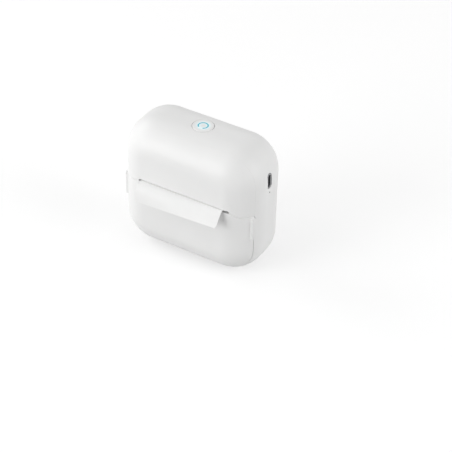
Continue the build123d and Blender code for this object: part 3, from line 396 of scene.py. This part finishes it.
def web_points(side):
    """The web's line in the side view, for a place across the paper from 0, left, to 1, right."""
    span = math.hypot(PLATEN[0] - ROLL_CENTRE[0], PLATEN[1] - ROLL_CENTRE[1])
    lean = math.atan2(PLATEN[1] - ROLL_CENTRE[1], PLATEN[0] - ROLL_CENTRE[0])
    lean -= math.acos((ROLL_WEB_RADIUS - WEB_RADIUS) / span)
    first = Vector(ROLL_CENTRE) + direction(lean) * ROLL_WEB_RADIUS
    last = Vector(PLATEN) + direction(lean) * WEB_RADIUS
    points = [first.lerp(last, step / ROLL_STEPS) for step in range(ROLL_STEPS)]
    top = math.radians(HEAD_ANGLE)
    for step in range(PLATEN_STEPS + 1):
        turn = lean + (top - lean) * step / PLATEN_STEPS
        points.append(Vector(PLATEN) + direction(turn) * WEB_RADIUS)
    feed = Vector((-math.sin(top), math.cos(top)))
    leaving = points[-1].copy()
    for step in range(1, SLOT_STEPS):
        points.append(leaving + feed * TO_SLOT * step / SLOT_STEPS)
    a, b, c, d = (left.lerp(right, side) for left, right in zip(LEFT_END, RIGHT_END))
    for step in range(END_STEPS + 1):
        t = step / END_STEPS
        points.append(a * (1 - t) ** 3 + b * 3 * t * (1 - t) ** 2 + c * 3 * t * t * (1 - t) + d * t ** 3)
    return points


def make_paper(material):
    grid = []
    for column in range(COLUMNS + 1):
        line = web_points(column / COLUMNS)
        # The torn edge keeps the teeth of the tear bar
        if column % 2:
            line[-1] = line[-1] + (line[-1] - line[-2]).normalized() * PAPER_TOOTH
        grid.append(line)
    rows = len(grid[0])
    front, back = [], []
    for column, line in enumerate(grid):
        x = -PAPER_HALF_WIDTH + 2 * PAPER_HALF_WIDTH * column / COLUMNS
        for row, point in enumerate(line):
            before = line[max(row - 1, 0)]
            after = line[min(row + 1, rows - 1)]
            along = (after - before).normalized()
            off = Vector((along.y, -along.x)) * PAPER_THICKNESS / 2
            front.append(Vector((x, point.x + off.x, point.y + off.y)) * MM)
            back.append(Vector((x, point.x - off.x, point.y - off.y)) * MM)
    total = len(front)
    last = COLUMNS
    end = rows - 1
    faces = []

    def at(column, row, layer=0):
        return column * rows + row + layer * total

    for column in range(last):
        for row in range(end):
            a, b, c, d = at(column, row), at(column + 1, row), at(column + 1, row + 1), at(column, row + 1)
            faces.append((a, b, c, d))
            faces.append((d + total, c + total, b + total, a + total))
    for row in range(end):
        faces.append((at(0, row), at(0, row + 1), at(0, row + 1, 1), at(0, row, 1)))
        faces.append((at(last, row + 1), at(last, row), at(last, row, 1), at(last, row + 1, 1)))
    for column in range(last):
        faces.append((at(column + 1, 0), at(column, 0), at(column, 0, 1), at(column + 1, 0, 1)))
        faces.append((at(column, end), at(column + 1, end), at(column + 1, end, 1), at(column, end, 1)))
    mesh = bpy.data.meshes.new("paper_web")
    mesh.from_pydata(front + back, [], faces)
    mesh.validate()
    mesh.materials.append(material)
    for polygon in mesh.polygons:
        polygon.use_smooth = True
    mesh.set_sharp_from_angle(angle=math.radians(PAPER_SHARP_ANGLE))
    paper = bpy.data.objects.new("paper_web", mesh)
    scene.collection.objects.link(paper)
    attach(paper, "cover")
    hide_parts("paper_strip")


# Floor, world and lamps, in metres and watts
WHITE = (1, 1, 1, 1)
WORLD_LIGHT = 0.393
WORLD_SEEN = 1.0
FLOOR_REACH = 3.0
FLOOR_DROP = 0.00002
FLOOR_COLOUR = 0.62
FLOOR_COLOUR_DRIFT = 0.005
FLOOR_CLOUD_SCALE = 9.0
FLOOR_ROUGHNESS = 0.9
FLOOR_SPECULAR = 0.0
FLOOR_LIFT = 0.47
LAMP_SIZE = 0.9
LAMP_AIM = (0.0, 0.0, 0.04)
LAMPS = {
    "key": ((-0.6, -1.0, 0.35), 7.4),
    "left": ((-1.1, -0.1, 0.6), 4.1),
    "right": ((1.1, 0.1, 0.5), 5.9),
    "back": ((-0.2, 1.0, 0.9), 1.3),
    "rim": ((0.9, 0.8, 0.7), 0.8),
    "fill": ((-0.55, -0.75, 0.95), 1.4),
}


def see_background(tree):
    """1 for a ray that shows the background: from the camera, a mirror or glass."""
    path = tree.nodes.new("ShaderNodeLightPath")
    total = path.outputs["Is Camera Ray"]
    for name in ("Is Glossy Ray", "Is Transmission Ray"):
        node = tree.nodes.new("ShaderNodeMath")
        node.operation = "MAXIMUM"
        tree.links.new(total, node.inputs[0])
        tree.links.new(path.outputs[name], node.inputs[1])
        total = node.outputs[0]
    return total


def make_world():
    """Plain white where it is seen, and a dimmer even light where it only lights the scene."""
    world = bpy.data.worlds.new("studio")
    scene.world = world
    world.use_nodes = True
    tree = world.node_tree
    background = next(n for n in tree.nodes if n.type == "BACKGROUND")
    strength = tree.nodes.new("ShaderNodeMapRange")
    strength.inputs["To Min"].default_value = WORLD_LIGHT
    strength.inputs["To Max"].default_value = WORLD_SEEN
    tree.links.new(see_background(tree), strength.inputs["Value"])
    background.inputs["Color"].default_value = WHITE
    tree.links.new(strength.outputs[0], background.inputs["Strength"])


def make_floor():
    """A matt pale floor, lifted towards white where it is seen."""
    mesh = bpy.data.meshes.new("floor")
    ends = (-FLOOR_REACH, FLOOR_REACH)
    mesh.from_pydata([(x, y, 0) for y in ends for x in ends], [], [(0, 1, 3, 2)])
    floor = bpy.data.objects.new("floor", mesh)
    scene.collection.objects.link(floor)
    floor.location.z = -FLOOR_DROP
    shader = Shader("floor")
    tree = shader.tree
    cloud = shader.noise(FLOOR_CLOUD_SCALE, GRAIN_DETAIL)
    shader.colour(shader.blend(cloud, (FLOOR_COLOUR - FLOOR_COLOUR_DRIFT,) * 3, (FLOOR_COLOUR,) * 3))
    shader.set(Roughness=FLOOR_ROUGHNESS)
    shader.surface.inputs["Specular IOR Level"].default_value = FLOOR_SPECULAR
    lift = tree.nodes.new("ShaderNodeEmission")
    lift.inputs["Color"].default_value = WHITE
    shader.link(shader.math("MULTIPLY", see_background(tree), FLOOR_LIFT), lift.inputs["Strength"])
    both = tree.nodes.new("ShaderNodeAddShader")
    shader.link(shader.surface.outputs[0], both.inputs[0])
    shader.link(lift.outputs[0], both.inputs[1])
    shader.link(both.outputs[0], shader.output.inputs["Surface"])
    mesh.materials.append(shader.material)


def make_lamp(name, place, power):
    data = bpy.data.lights.new(name, "AREA")
    data.shape = "DISK"
    data.size = LAMP_SIZE
    data.energy = power
    lamp = bpy.data.objects.new(name, data)
    lamp.location = place
    lamp.rotation_mode = "QUATERNION"
    lamp.rotation_quaternion = (Vector(LAMP_AIM) - Vector(place)).to_track_quat("-Z", "Y")
    scene.collection.objects.link(lamp)


make_camera()
finishes = paint_nodes()
make_paper(finishes["paper"].material)
make_world()
make_floor()
for name, (place, power) in LAMPS.items():
    make_lamp(name, place, power)
scene.view_settings.view_transform = "Standard"
